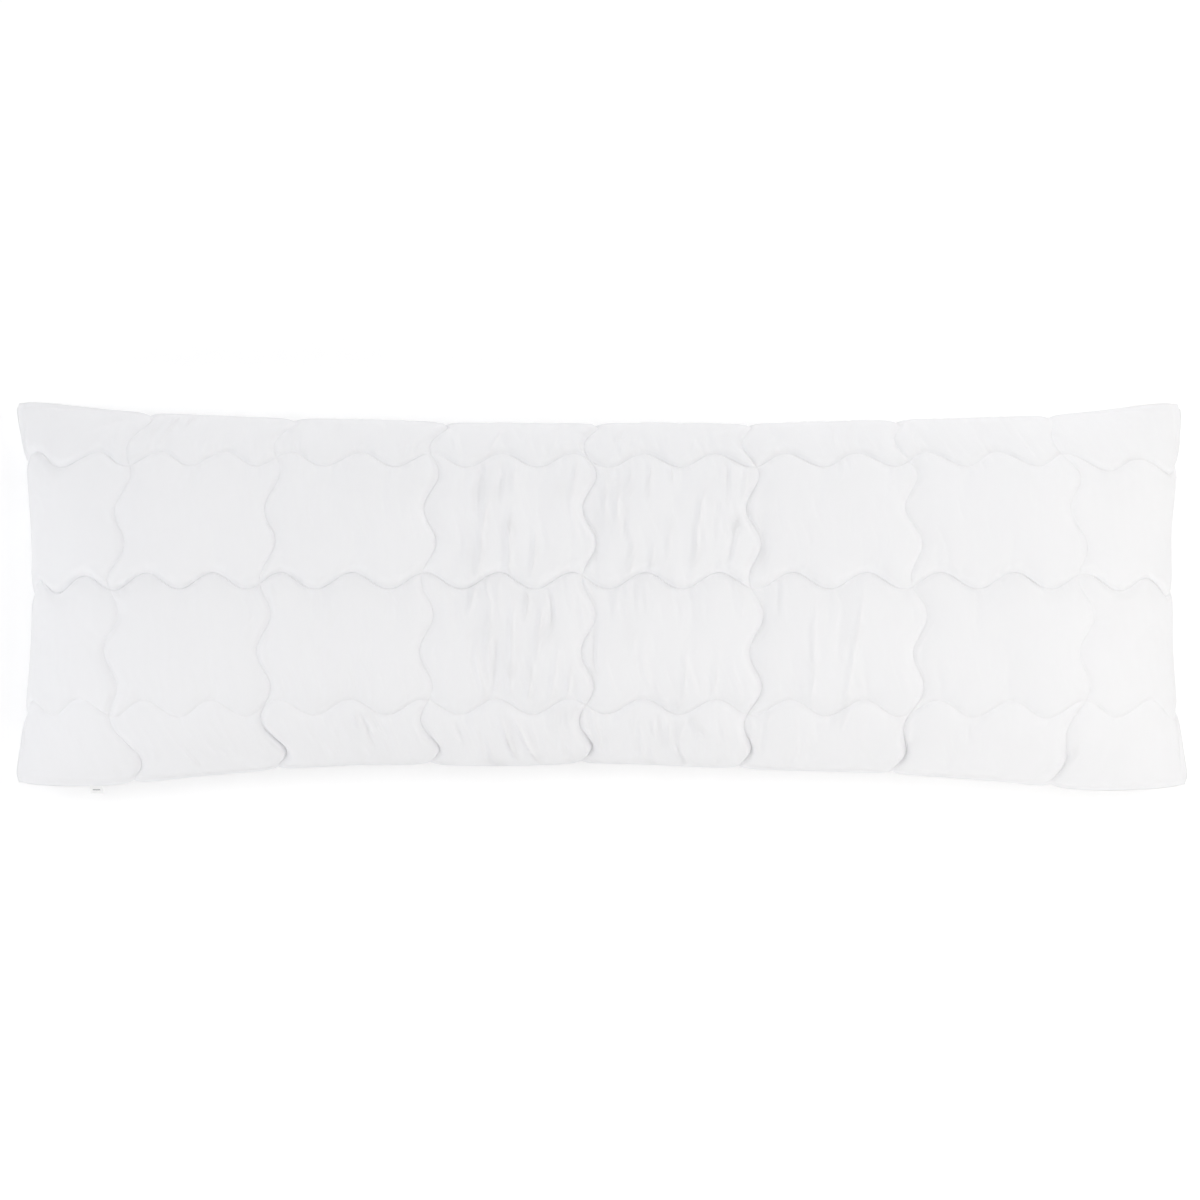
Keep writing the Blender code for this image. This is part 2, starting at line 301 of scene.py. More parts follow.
def puckers(column, row, s, t):
    """Small ridges that run nearly square to each quilting line: an uneven wave along the line, times a
    fall away from it, and lowest on the line itself."""
    total = 0.0
    for k, line in enumerate(CROSS_LINES):
        ridges = uneven(t + PUCKER_SLANT["cross"] * (s - line), PUCKER_PITCH, PUCKER_SEEDS["cross"] + k)
        total = total + ridges * np.exp(-np.abs(column - line) / PUCKER_REACH)
    for k, line in enumerate(LONG_LINES):
        strength = 0.75 + 0.5 * uneven(s, PUCKER_STRENGTH_PITCH, PUCKER_SEEDS["strength"] + k)
        ridges = uneven(s + PUCKER_SLANT["long"] * (t - line), PUCKER_PITCH, PUCKER_SEEDS["long"] + k)
        total = total + strength * ridges * np.exp(-np.abs(row - line) / PUCKER_REACH)
    on_cross = near_line(column, CROSS_LINES, STITCHED_REACH)
    on_long = near_line(row, LONG_LINES, STITCHED_REACH)
    return PUCKER_HEIGHT * total * (1.0 - 0.8 * on_cross) * (1.0 - 0.8 * on_long)


def along_line(place, edges, stretches):
    """How firmly a line is held and how it rolls: straight from the middle of one cell to the next."""
    middles = (np.array(edges[:-1]) + np.array(edges[1:])) / 2
    return (np.interp(place, middles, [stretch[k] for stretch in stretches]) for k in (0, 1))


def channel(distance, hold, roll):
    """Share of the channel's depth beside its line. A sharp side falls as a bell curve of the distance,
    and a slow one as two fading slopes. The roll says how much of each the two sides have."""
    away = np.abs(distance)
    sharp = np.exp(-((away / SHARP_REACH) ** 2))
    slow = sum(part * np.exp(-away / reach) for part, reach in SLOW_SLOPES)
    share = 0.5 * (1.0 + roll * np.sign(distance))
    return hold * (share * sharp + (1.0 - share) * slow)


def lip(distance, hold, roll):
    """Share of the lip's height: the cloth of a sharp side stands up beside its line, as one less a bell
    curve, and falls slowly away."""
    away = np.abs(distance)
    stands = np.exp(-away / LIP["fall"]) * (1.0 - np.exp(-((away / LIP["crest"]) ** 2)))
    return np.clip(hold, 0.0, 1.0) * np.clip(roll * np.sign(distance), 0.0, 1.0) * stands


def channelled(column, row, reach):
    """1 on every line, falling away over the reach, and nowhere more than 1."""
    return 1.0 - (1.0 - near_line(column, CROSS_LINES, reach)) * (1.0 - near_line(row, LONG_LINES, reach))


def front_quilting(column, row, s, t):
    """Height of the front's cloth over the filling: up to the crown in each cell, down to the channel's
    depth on each line, where two lines that cross don't add up, and a little more in the crease of the
    stitching. The cross lines go deeper at their near ends, by the table."""
    height, reach = CROWN["front"]
    total = height * (1.0 - channelled(column, row, reach))
    left, creased = 1.0, 0.0
    for line, stretches in zip(LONG_LINES, LONG_STRETCHES):
        hold, roll = along_line(s, CELL_SIDES, stretches)
        left = left * (1.0 - np.clip(channel(row - line, hold, roll), 0.0, 1.0))
        total = total + LIP["long"] * lip(row - line, hold, roll)
        creased = np.maximum(creased, hold * near_line(row, (line,), CREASE_REACH))
    for line, stretches in zip(CROSS_LINES, CROSS_STRETCHES):
        hold, roll = along_line(t, CELL_ENDS[::-1], stretches)
        left = left * (1.0 - np.clip(channel(line - column, hold, roll), 0.0, 1.0))
        total = total + LIP["cross"] * lip(line - column, hold, roll)
        creased = np.maximum(creased, hold * near_line(column, (line,), CREASE_REACH))
    total = total - CHANNEL_DEPTH * (1.0 - left) - CREASE_DEPTH * creased
    for line, (start, full, depth, reach) in zip(CROSS_LINES, NEAR_ENDS):
        deeper = depth / 1000 * smooth_step(-t, -start, -full)
        total = total - deeper * near_line(column, (line,), reach / 1000)
    return total


def back_quilting(column, row):
    """Height of the back's cloth over the filling, the same all along each line."""
    height, reach = CROWN["back"]
    depth, channel_reach = BACK_CHANNEL
    crown = height * (1.0 - channelled(column, row, reach))
    return crown - depth * channelled(column, row, channel_reach)


# The folds: soft ridges, and troughs of less than no height, where the cloth is slack. Each is placed in
# its own cell, counted from the left end and from the far side. Its ends are shares of the cell, from its
# left line to its right and from its near line to its far.
FOLDS = (  # column, row, start right, start up, end right, end up, height mm, half width mm
    # the strip along the far side
    (2, 1, 0.30, 0.80, 0.25, 0.30, 2.2, 2.5),
    (2, 1, 0.41, 0.80, 0.38, 0.42, 2.1, 2.5),
    (2, 1, 0.56, 0.26, 0.55, 0.02, 1.5, 2.5),
    (2, 1, 0.20, 0.70, 0.17, 0.30, -1.7, 2.5),
    (3, 1, 0.35, 0.85, 0.39, 0.28, -1.5, 2.0),
    (3, 1, 0.84, 0.36, 0.81, 0.04, 1.3, 2.0),
    (3, 1, 0.89, 0.40, 0.86, 0.04, 1.5, 2.0),
    (3, 1, 0.93, 0.36, 0.90, 0.04, 1.8, 2.0),
    (4, 1, 0.42, 0.53, 0.35, 0.02, 2.4, 2.5),
    (4, 1, 0.60, 0.40, 0.59, 0.04, 1.2, 2.0),
    (4, 1, 0.78, 0.37, 0.74, 0.04, 1.6, 2.0),
    (5, 1, 0.19, 0.55, 0.15, 0.06, -2.0, 2.2),
    (5, 1, 0.26, 0.40, 0.24, 0.06, 1.2, 2.0),
    (5, 1, 0.46, 0.45, 0.47, 0.06, 1.2, 2.0),
    (5, 1, 0.63, 0.37, 0.62, 0.06, 1.5, 2.0),
    (6, 1, 0.51, 0.75, 0.50, 0.15, 1.5, 2.2),
    (6, 1, 0.57, 0.65, 0.56, 0.15, 1.2, 2.0),
    # the far row of whole cells
    (4, 2, 0.33, 0.94, 0.29, 0.50, -5.6, 3.7),
    (4, 2, 0.36, 0.64, 0.30, 0.00, 5.6, 3.7),
    (4, 2, 0.46, 0.98, 0.43, 0.62, -4.7, 3.1),
    (4, 2, 0.51, 0.58, 0.49, 0.00, 5.6, 3.7),
    (4, 2, 0.53, 0.96, 0.52, 0.66, 3.7, 3.1),
    (4, 2, 0.67, 0.40, 0.64, 0.00, 4.7, 3.1),
    (4, 2, 0.69, 0.78, 0.66, 0.15, -2.7, 14.0),
    (4, 2, 0.91, 1.00, 0.89, 0.62, 3.8, 2.5),
    (5, 2, 0.09, 0.88, 0.08, 0.42, 3.6, 2.5),
    (5, 2, 0.17, 0.86, 0.15, 0.35, 3.5, 2.5),
    (5, 2, 0.22, 0.58, 0.20, 0.28, -3.6, 3.1),
    (5, 2, 0.36, 1.00, 0.35, 0.57, 3.5, 2.5),
    (5, 2, 0.47, 1.00, 0.49, 0.78, 2.9, 2.5),
    (5, 2, 0.67, 0.70, 0.63, 0.04, 4.5, 3.1),
    (5, 2, 0.81, 1.00, 0.82, 0.60, -4.4, 3.1),
    (5, 2, 0.90, 0.54, 0.83, 0.14, -4.4, 3.1),
    (5, 2, 0.50, 0.54, 0.47, 0.14, 3.1, 3.1),
    (5, 2, 0.26, 0.28, 0.24, 0.00, 2.9, 2.5),
    (5, 2, 0.38, 0.28, 0.36, 0.00, 3.1, 2.5),
    (5, 2, 0.93, 0.95, 0.92, 0.53, 3.0, 2.2),
    (6, 2, 0.53, 1.00, 0.52, 0.80, 1.6, 2.0),
    (6, 2, 0.58, 1.00, 0.58, 0.84, 1.3, 2.0),
    (5, 2, 0.24, 0.99, 0.24, 0.64, 2.7, 2.2),
    (5, 2, 0.76, 0.62, 0.75, 0.31, -2.9, 2.4),
    (5, 2, 0.04, 0.55, 0.04, -0.03, -2.9, 2.0),
    (6, 2, 0.05, 0.55, 0.05, -0.02, -2.1, 2.0),
    (4, 2, 0.22, 0.40, 0.12, 0.04, -3.0, 11.0),
    # the near row of whole cells
    (5, 3, 0.04, 0.90, 0.03, 0.05, -2.9, 2.0),
    (5, 3, 0.20, 0.95, 0.14, 0.78, -2.7, 2.2),
    (5, 3, 0.34, 0.92, 0.33, 0.78, -2.6, 2.2),
    (6, 3, 0.05, 0.97, 0.05, 0.55, -2.1, 2.0),
    (2, 3, 0.04, 0.97, 0.01, 0.82, 1.8, 2.0),
    (2, 3, 0.08, 0.98, 0.05, 0.84, 1.5, 2.0),
    (3, 3, 0.03, 0.96, 0.04, 0.81, 1.9, 2.0),
    (3, 3, 0.08, 0.98, 0.03, 0.73, 2.0, 2.0),
    (3, 3, 0.53, 0.28, 0.58, 0.10, 1.4, 2.5),
    (4, 3, 0.31, 1.00, 0.25, 0.73, 4.2, 2.8),
    (4, 3, 0.37, 1.00, 0.37, 0.86, 3.0, 2.0),
    (4, 3, 0.39, 0.88, 0.38, 0.34, 4.7, 3.1),
    (4, 3, 0.44, 1.00, 0.43, 0.83, 3.3, 2.2),
    (4, 3, 0.53, 0.87, 0.52, 0.10, 5.6, 3.7),
    (4, 3, 0.43, 0.55, 0.42, 0.12, -5.6, 3.7),
    (4, 3, 0.62, 0.92, 0.61, 0.68, 3.8, 2.5),
    (4, 3, 0.71, 0.82, 0.68, 0.36, 4.7, 3.1),
    (4, 3, 0.66, 0.40, 0.64, 0.07, 4.7, 3.1),
    (4, 3, 0.75, 0.95, 0.79, 0.58, -4.2, 2.8),
    (4, 3, 0.81, 0.47, 0.78, 0.07, 4.7, 3.1),
    (4, 3, 0.90, 0.38, 0.88, 0.06, 4.2, 2.8),
    (5, 3, 0.20, 1.00, 0.14, 0.73, 3.6, 2.5),
    (5, 3, 0.28, 1.00, 0.27, 0.82, -2.2, 2.5),
    (5, 3, 0.34, 1.00, 0.34, 0.76, 2.5, 2.5),
    (5, 3, 0.58, 0.44, 0.58, 0.04, 3.0, 2.5),
    (5, 3, 0.78, 0.33, 0.75, 0.12, 2.7, 2.5),
    (5, 3, 0.41, 0.17, 0.49, -0.03, 3.0, 2.0),
    (5, 3, 0.52, 0.09, 0.56, -0.04, 3.0, 2.0),
    (5, 3, 0.93, 0.94, 0.92, 0.71, 2.7, 2.5),
    (6, 3, 0.15, 1.00, 0.13, 0.73, -2.6, 2.5),
    (6, 3, 0.37, 0.80, 0.35, 0.00, 2.8, 3.1),
    (6, 3, 0.26, 0.32, 0.24, 0.12, 1.7, 2.5),
    (6, 3, 0.63, 0.62, 0.55, -0.02, 3.4, 3.1),
    (6, 3, 0.67, 0.94, 0.62, 0.50, 2.5, 3.1),
    (6, 3, 0.54, 0.86, 0.51, 0.35, -2.1, 3.7),
    # the strip along the near side
    (2, 4, 0.25, 0.58, 0.17, 0.32, 1.7, 2.5),
    (2, 4, 0.39, 0.62, 0.48, 0.15, 1.7, 2.5),
    (3, 4, 0.60, 0.95, 0.65, 0.46, -3.8, 2.5),
    (3, 4, 0.65, 0.95, 0.70, 0.66, -3.0, 2.0),
    (3, 4, 0.56, 0.97, 0.58, 0.72, 2.9, 2.0),
    (4, 4, 0.17, 0.76, 0.22, 0.53, -2.8, 2.5),
    (4, 4, 0.45, 0.94, 0.56, 0.20, 5.5, 2.8),
    (4, 4, 0.54, 0.92, 0.71, 0.13, 5.5, 2.8),
    (4, 4, 0.79, 1.02, 0.79, 0.80, 2.4, 1.7),
    (4, 4, 0.83, 1.04, 0.84, 0.78, 2.4, 1.7),
    (4, 4, 0.88, 1.04, 0.88, 0.80, 2.4, 1.7),
    (4, 4, 0.92, 1.02, 0.91, 0.82, 2.4, 1.7),
    (5, 4, 0.09, 0.66, 0.07, 0.35, 2.2, 2.5),
    (5, 4, 0.28, 0.90, 0.28, 0.65, 2.8, 2.0),
    (5, 4, 0.39, 0.88, 0.41, 0.62, 2.8, 2.0),
    (5, 4, 0.42, 0.94, 0.45, 0.42, -2.8, 2.2),
    (5, 4, 0.49, 0.84, 0.50, 0.42, 3.6, 2.5),
    (5, 4, 0.59, 0.86, 0.55, 0.52, 2.8, 2.2),
    (5, 4, 0.55, 0.54, 0.61, 0.10, -3.9, 2.0),
    (5, 4, 0.60, 0.88, 0.75, 0.60, 3.2, 2.0),
    (5, 4, 0.83, 0.36, 0.83, 0.12, 2.0, 2.0),
    (6, 4, 0.09, 0.96, 0.08, 0.74, 1.6, 2.0),
    (6, 4, 0.06, 0.80, 0.09, 0.32, -3.0, 3.7),
    (6, 4, 0.31, 0.54, 0.30, 0.18, 1.1, 2.5),
    (6, 4, 0.56, 1.00, 0.55, 0.72, 1.9, 2.5),
    (7, 4, 0.04, 0.68, -0.01, 0.40, -2.3, 2.0),
    (7, 4, 0.00, 0.44, -0.04, 0.16, -2.0, 2.0),
    (7, 4, 0.31, 0.82, 0.35, 0.60, -1.7, 2.2),
    (8, 4, 0.07, 0.64, -0.02, 0.34, -2.4, 2.2),
    (8, 4, -0.08, 0.40, -0.19, 0.20, -2.0, 2.5),
    (7, 4, -0.02, 0.78, -0.03, 0.40, 1.6, 2.2),
    (8, 4, 0.10, 0.60, 0.00, 0.28, 2.0, 2.2),
    (8, 4, 0.93, 0.90, 1.00, 0.92, -2.0, 2.0),
)
FOLD_WOBBLE = 0.0011
SLACK = (  # a row for each row of cells from the far side: how slack each cell's cloth is, from the left
    (1.2, 1.5, 1.1, 0.9, 0.9, 0.6, 1.2, 1.1),
    (0.3, 0.3, 0.5, 1.5, 1.5, 0.4, 0.4, 0.3),
    (0.5, 0.4, 0.5, 2.2, 0.9, 0.5, 0.4, 0.5),
    (0.5, 0.7, 1.2, 2.6, 2.4, 0.4, 0.3, 0.5),
)
STREAK_PITCH = 0.0095
STREAK_HEIGHT = 0.00055
STREAK_SLANT = 0.13
STREAK_WOBBLE = 0.0020


def streaks(s, t):
    """Height of the fine lines of slack cloth: an uneven wave along the pillow, a little slanted, that
    comes and goes across it, times how slack the cell is, straight from one cell's middle to the next."""
    across = [(far + near) / 2 for far, near in zip(CELL_ENDS[:-1], CELL_ENDS[1:])]
    along = [(left + right) / 2 for left, right in zip(CELL_SIDES[:-1], CELL_SIDES[1:])]
    by_row = [np.interp(s, along, row) for row in SLACK]
    slack = by_row[-1]
    for near, far, values in zip(across[:0:-1], across[-2::-1], by_row[-2::-1]):
        slack = slack + (values - slack) * np.clip((t - near) / (far - near), 0.0, 1.0)
    slanted = s + STREAK_SLANT * t + STREAK_WOBBLE * uneven(t, 0.060, 91)
    comes = np.clip(0.5 + 0.9 * uneven(t + 2.0 * s, 0.075, 92), 0.0, 1.0)
    return STREAK_HEIGHT * slack * comes * uneven(slanted, STREAK_PITCH, 93)


def folds(s, t):
    """Height of the folds: for each, a bell curve of the distance to its line, times the root of the sine
    of the way along it. The lines wobble a little, as slack cloth does."""
    s = s + FOLD_WOBBLE * uneven(t, 0.055, 81)
    t = t + FOLD_WOBBLE * uneven(s, 0.070, 82)
    total = np.zeros_like(s)
    for column, row, right_0, up_0, right_1, up_1, height, width in FOLDS:
        left, right = CELL_SIDES[column - 1 : column + 1]
        far, near = CELL_ENDS[row - 1 : row + 1]
        start = np.array([left + right_0 * (right - left), near + up_0 * (far - near)])
        end = np.array([left + right_1 * (right - left), near + up_1 * (far - near)])
        length = np.linalg.norm(end - start)
        run = (end - start) / length
        along = ((s - start[0]) * run[0] + (t - start[1]) * run[1]) / length
        aside = (s - start[0]) * run[1] - (t - start[1]) * run[0]
        taper = np.sqrt(np.sin(math.pi * np.clip(along, 0.0, 1.0)))
        total += height / 1000 * taper * np.exp(-((aside / (width / 1000)) ** 2))
    return total


# The swelling of each cell: the front is simulated as cloth under air pressure, held along its seams and
# its stitching, and how far each point moved is kept and added to the finer grid.
SWELL_FRAMES = 20
SWELL_CAP = 0.0045
SWELL_CLOTH = {
    "quality": 4,
    "mass": 0.2,
    "tension_stiffness": 15,
    "compression_stiffness": 15,
    "shear_stiffness": 5,
    "bending_stiffness": 0.4,
    "shrink_min": -0.006,
    "use_pressure": True,
    "uniform_pressure_force": 4.0,
}


def grid_facets(place):
    """The four corners of each facet of a grid of point numbers."""
    corners = [place[:-1, :-1], place[1:, :-1], place[1:, 1:], place[:-1, 1:]]
    return np.stack(corners, axis=-1).reshape(-1, 4)


def placed(name, data):
    """An object in the scene that shows this mesh, lamp or camera."""
    made = bpy.data.objects.new(name, data)
    bpy.context.scene.collection.objects.link(made)
    return made


def swelled(columns, rows, points, normal):
    """How far the cloth of each point of a grid swells along its normal, from the simulation, no further
    than the cap and nothing on the lines."""
    held = np.isin(columns, CELL_SIDES)[:, None] | np.isin(rows, CELL_ENDS)
    mesh = bpy.data.meshes.new("cloth_under_pressure")
    place = np.arange(held.size).reshape(held.shape)
    mesh.from_pydata(points.reshape(-1, 3).tolist(), [], grid_facets(place).tolist())
    sheet = placed("cloth_under_pressure", mesh)
    group = sheet.vertex_groups.new(name="held")
    group.add(np.flatnonzero(held).tolist(), 1.0, "REPLACE")
    cloth = sheet.modifiers.new("cloth", "CLOTH")
    for setting, value in SWELL_CLOTH.items():
        setattr(cloth.settings, setting, value)
    cloth.settings.vertex_group_mass = "held"
    cloth.settings.effector_weights.gravity = 0.0
    cloth.collision_settings.use_collision = False
    cloth.collision_settings.use_self_collision = False
    for number in range(1, SWELL_FRAMES + 1):
        bpy.context.scene.frame_set(number)
    shaped = sheet.evaluated_get(bpy.context.evaluated_depsgraph_get()).to_mesh()
    after = np.empty(points.size, np.float32)
    shaped.vertices.foreach_get("co", after)
    bpy.context.scene.frame_set(1)
    bpy.data.objects.remove(sheet)
    moved = ((after.reshape(points.shape) - points) * normal).sum(axis=-1)
    moved = SWELL_CAP * np.tanh(moved / SWELL_CAP)
    return np.where(held, 0.0, moved)


def read_grid(value, columns, rows, at_columns, at_rows):
    """A grid of values read at other columns and rows, straight between its own."""
    down = np.stack([np.interp(at_rows, rows, line) for line in value])
    return np.stack([np.interp(at_columns, columns, line) for line in down.T], axis=1)


FOLD_CLEARANCE = 0.0025
PRESSED_LEVEL = 0.0008
BACK_STEP = 4


def front_points(columns, rows, swelling=None):
    """The front: the filled face, lifted along its normal by its quilting and puckers, and beside the
    lines, where a swelling is given, also by its folds, its streaks and that swelling."""
    column, row = np.meshgrid(columns, rows, indexing="ij")
    points, normal = filled(column, row, True)
    s, t = waved(column, row)
    at_side, at_end = from_seams(s, t)
    lift = front_quilting(column, row, s, t) + puckers(column, row, s, t)
    if swelling is not None:
        loose = 1.0 - channelled(column, row, FOLD_CLEARANCE)
        lift = lift + (folds(s, t) + streaks(s, t)) * loose + swelling
    return points + normal * (lift * (1.0 - at_side) * (1.0 - at_end))[..., None], normal


def back_points(columns, rows):
    """The back: the filled face, drawn in along its quilting, and pressed level where its cells rest."""
    column, row = np.meshgrid(columns, rows, indexing="ij")
    points, normal = filled(column, row, False)
    at_side, at_end = from_seams(*waved(column, row))
    lift = back_quilting(column, row) * (1.0 - at_side) * (1.0 - at_end)
    points = points - normal * np.minimum(lift, 0.0)[..., None]
    points[..., 2] = np.where(points[..., 2] < PRESSED_LEVEL, 0.0, points[..., 2])
    return points, -normal


def closed_skin(name, front, back, flat_places):
    """One closed mesh of both faces, which share the points of the seam. The back has one facet for each
    step by step of the front's, and those beside the seam also take the front's own points between
    their corners."""
    across, along = front.shape[0] - 1, front.shape[1] - 1
    step = BACK_STEP
    place = np.arange(front.shape[0] * front.shape[1]).reshape(front.shape[:2])
    quads = grid_facets(place)
    under = np.full(place.shape, -1)
    under[[0, -1], :] = place[[0, -1], :]
    under[:, [0, -1]] = place[:, [0, -1]]
    inner = (across // step - 1, along // step - 1)
    under[step:-1:step, step:-1:step] = place.size + np.arange(inner[0] * inner[1]).reshape(inner)
    i, j = np.meshgrid(np.arange(0, across, step), np.arange(0, along, step), indexing="ij")
    side = np.arange(step)
    turn = np.concatenate([
        np.stack([0 * side, side], axis=1), np.stack([side, 0 * side + step], axis=1),
        np.stack([0 * side + step, step - side], axis=1), np.stack([step - side, 0 * side], axis=1),
    ])
    facets = np.stack([under[i + a, j + b] for a, b in turn], axis=-1).reshape(-1, len(turn))
    flat = np.stack([flat_places[i + a, j + b] for a, b in turn], axis=2).reshape(-1, len(turn), 2)

    counts = np.concatenate([np.full(len(quads), 4), (facets >= 0).sum(axis=1)])
    corners = np.concatenate([quads.ravel(), facets[facets >= 0]])
    points = np.concatenate([front.reshape(-1, 3), back[step:-1:step, step:-1:step].reshape(-1, 3)])
    mesh = bpy.data.meshes.new(name)
    mesh.vertices.add(len(points))
    mesh.vertices.foreach_set("co", points.astype(np.float32).ravel())
    mesh.loops.add(len(corners))
    mesh.loops.foreach_set("vertex_index", corners.astype(np.int32))
    mesh.polygons.add(len(counts))
    mesh.polygons.foreach_set("loop_start", (np.cumsum(counts) - counts).astype(np.int32))
    mesh.update(calc_edges=True)
    mesh.validate()
    cloth_map = mesh.uv_layers.new(name="flat_cloth")
    flat = np.concatenate([flat_places.reshape(-1, 2)[quads.ravel()], flat[facets >= 0]])
    cloth_map.uv.foreach_set("vector", flat.astype(np.float32).ravel())
    mesh.shade_smooth()
    return placed(name, mesh)


columns, rows = panel_grid(end_columns=48, cell_columns=92, side_rows=20, cell_rows=28)
swelling = np.zeros((len(columns), len(rows)))
coarse_columns, coarse_rows = panel_grid(20, 40, 16, 30, beside=())
coarse = np.meshgrid(coarse_columns, coarse_rows, indexing="ij")
start, start_normal = filled(*coarse, True)
coarse_swelling = swelled(coarse_columns, coarse_rows, start, start_normal)
swelling = read_grid(coarse_swelling, coarse_columns, coarse_rows, columns, rows)

front = front_points(columns, rows, swelling)[0]
back = back_points(columns, rows)[0]
shown_low, shown_high = front.min(axis=(0, 1)), front.max(axis=(0, 1))
solid_low, solid_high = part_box("pillow")
TO_FRAME = (np.array(solid_low) + np.array(solid_high) - shown_low - shown_high) / 2
TO_FRAME[2] = 0.0
flat_places = np.stack(waved(*np.meshgrid(columns, rows, indexing="ij")), axis=-1)
pillow = closed_skin("quilted_pillow", front + TO_FRAME, back + TO_FRAME, flat_places)


# The pillow's finish: closely woven white cotton, washed and a little crumpled. Its relief is read from
# the map of the flat cloth, so the threads follow the cloth over every fold.
COTTON_WHITES = ((0.872, 0.873, 0.888), (0.890, 0.891, 0.905))
THREADS_PER_METRE = 2200.0
WEAVE_DEPTH = 0.00004
CRUMPLE_DEPTH = 0.0004
CRUMPLE_SIZE = 60.0


def group_nodes(name, size, outputs):
    """A shader node group that takes a place and this size, and puts out these heights and masks: its
    tree, its input node and its output node."""
    tree = bpy.data.node_groups.new(name, "ShaderNodeTree")
    tree.interface.new_socket("Vector", in_out="INPUT", socket_type="NodeSocketVector")
    tree.interface.new_socket(size, in_out="INPUT", socket_type="NodeSocketFloat")
    for socket in outputs:
        tree.interface.new_socket(socket, in_out="OUTPUT", socket_type="NodeSocketFloat")
    return tree, tree.nodes.new("NodeGroupInput"), tree.nodes.new("NodeGroupOutput")


def worked(tree, operation, *values):
    """A Math node whose inputs are these numbers or sockets, and its result."""
    node = tree.nodes.new("ShaderNodeMath")
    node.operation = operation
    for socket, value in zip(node.inputs, values):
        if isinstance(value, (int, float)):
            socket.default_value = value
        else:
            tree.links.new(value, socket)
    return node.outputs[0]


def plain_weave():
    """Height of a plain weave: each thread's round back, the sine of its place, up or down by the sine of
    the thread that it crosses."""
    tree, given, out = group_nodes("plain_weave", "Threads per metre", ("Height",))
    split = tree.nodes.new("ShaderNodeSeparateXYZ")
    tree.links.new(given.outputs["Vector"], split.inputs[0])
    turn = worked(tree, "MULTIPLY", given.outputs["Threads per metre"], math.pi)
    warp, weft = (
        worked(tree, "SINE", worked(tree, "MULTIPLY", split.outputs[axis], turn)) for axis in ("X", "Y")
    )
    over = worked(tree, "MULTIPLY", warp, weft)
    backs = worked(tree, "ADD", worked(tree, "ABSOLUTE", warp), worked(tree, "ABSOLUTE", weft))
    height = worked(tree, "MULTIPLY_ADD", over, 0.5, worked(tree, "MULTIPLY", backs, 0.25))
    tree.links.new(height, out.inputs["Height"])
    return tree


def soft_unevenness():
    """The slight crumple of washed cloth: two sizes of noise, stretched a little along the cloth."""
    tree, given, out = group_nodes("soft_unevenness", "Size", ("Height", "Mottle"))
    place = tree.nodes.new("ShaderNodeMapping")
    place.inputs["Scale"].default_value = (1.0, 0.6, 1.0)
    tree.links.new(given.outputs["Vector"], place.inputs["Vector"])
    crumple = tree.nodes.new("ShaderNodeTexNoise")
    crumple.inputs["Detail"].default_value = 3.0
    crumple.inputs["Roughness"].default_value = 0.45
    tree.links.new(place.outputs["Vector"], crumple.inputs["Vector"])
    tree.links.new(given.outputs["Size"], crumple.inputs["Scale"])
    broad = tree.nodes.new("ShaderNodeTexNoise")
    broad.inputs["Scale"].default_value = 9.0
    broad.inputs["Detail"].default_value = 2.0
    tree.links.new(place.outputs["Vector"], broad.inputs["Vector"])
    tree.links.new(crumple.outputs["Fac"], out.inputs["Height"])
    tree.links.new(broad.outputs["Fac"], out.inputs["Mottle"])
    return tree


def new_material(name, roughness, sheen):
    """A node material with this roughness and sheen: the material, its tree and its shader."""
    material = bpy.data.materials.new(name)
    material.use_nodes = True
    shader = material.node_tree.nodes["Principled BSDF"]
    shader.inputs["Roughness"].default_value = roughness
    shader.inputs["Sheen Weight"].default_value = sheen
    return material, material.node_tree, shader


def flat_cloth_place(tree):
    """The place on the flat cloth, from the piece's own map."""
    place = tree.nodes.new("ShaderNodeUVMap")
    place.uv_map = "flat_cloth"
    return place.outputs["UV"]


def worked_in(tree, group, place, size, value):
    """A node that uses one of the groups at a place, with its size at this value."""
    node = tree.nodes.new("ShaderNodeGroup")
    node.node_tree = group
    node.inputs[size].default_value = value
    tree.links.new(place, node.inputs["Vector"])
    return node


def between(tree, share, colour, other_colour):
    """The colour this share of the way from one colour to the other."""
    mix = tree.nodes.new("ShaderNodeMix")
    mix.data_type = "RGBA"
    mix.inputs["A"].default_value = (*colour, 1.0)
    mix.inputs["B"].default_value = (*other_colour, 1.0)
    tree.links.new(share, mix.inputs["Factor"])
    return mix.outputs["Result"]


def raised_by(tree, height, depth, below=None):
    """The normal of a relief: a height from 0 to 1 times this depth, over the normal below it."""
    bump = tree.nodes.new("ShaderNodeBump")
    bump.inputs["Distance"].default_value = depth
    tree.links.new(height, bump.inputs["Height"])
    if below is not None:
        tree.links.new(below, bump.inputs["Normal"])
    return bump.outputs["Normal"]


def cotton_material(weave_group):
    """White cotton: its colour drifts between two whites, and its relief is a weave over a crumple."""
    material, tree, shader = new_material("white_cotton", 0.75, 0.15)
    shader.inputs["Sheen Roughness"].default_value = 0.55
    shader.inputs["Specular IOR Level"].default_value = 0.3
    place = flat_cloth_place(tree)
    weave = worked_in(tree, weave_group, place, "Threads per metre", THREADS_PER_METRE)
    crumple = worked_in(tree, soft_unevenness(), place, "Size", CRUMPLE_SIZE)
    tree.links.new(between(tree, crumple.outputs["Mottle"], *COTTON_WHITES), shader.inputs["Base Color"])
    crumpled = raised_by(tree, crumple.outputs["Height"], CRUMPLE_DEPTH)
    woven = raised_by(tree, weave.outputs["Height"], WEAVE_DEPTH, crumpled)
    tree.links.new(woven, shader.inputs["Normal"])
    return material


weave_group = plain_weave()
pillow.data.materials.append(cotton_material(weave_group))
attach(pillow, "root")
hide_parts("pillow")


